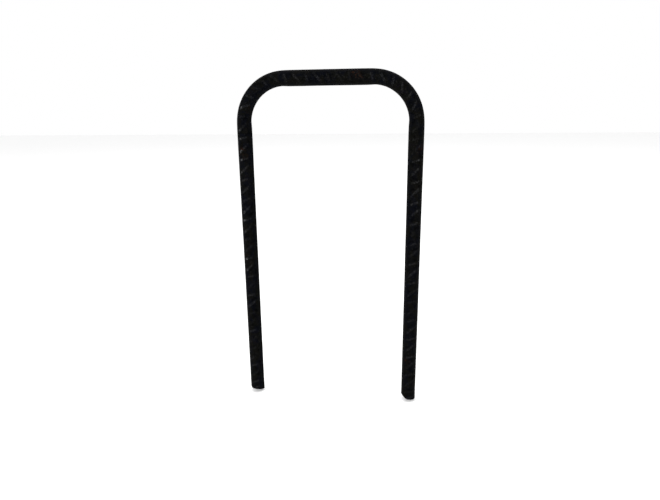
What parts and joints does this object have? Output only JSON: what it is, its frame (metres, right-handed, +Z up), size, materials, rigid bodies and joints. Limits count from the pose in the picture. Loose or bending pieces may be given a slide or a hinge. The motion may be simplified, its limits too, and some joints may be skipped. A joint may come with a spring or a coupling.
{
  "type": "tent stake",
  "caption": "Ground stake made from one ribbed steel reinforcing bar, bent into a square-topped U whose two legs are driven into the ground.",
  "frame": {"origin": "middle of the crown's underside, which is the ground line when the stake is driven home", "axes": "+Z up, from the leg ends to the crown; X across the two legs; front faces -Y"},
  "size_m": [0.1524, 0.0128, 0.285],
  "materials": {
    "mill_scale": "hot-rolled steel with near-black mill scale, dull, with a few specks of rust"
  },
  "bodies": {
    "root": {"bent_bar": "mill_scale"}
  },
  "joints": []
}
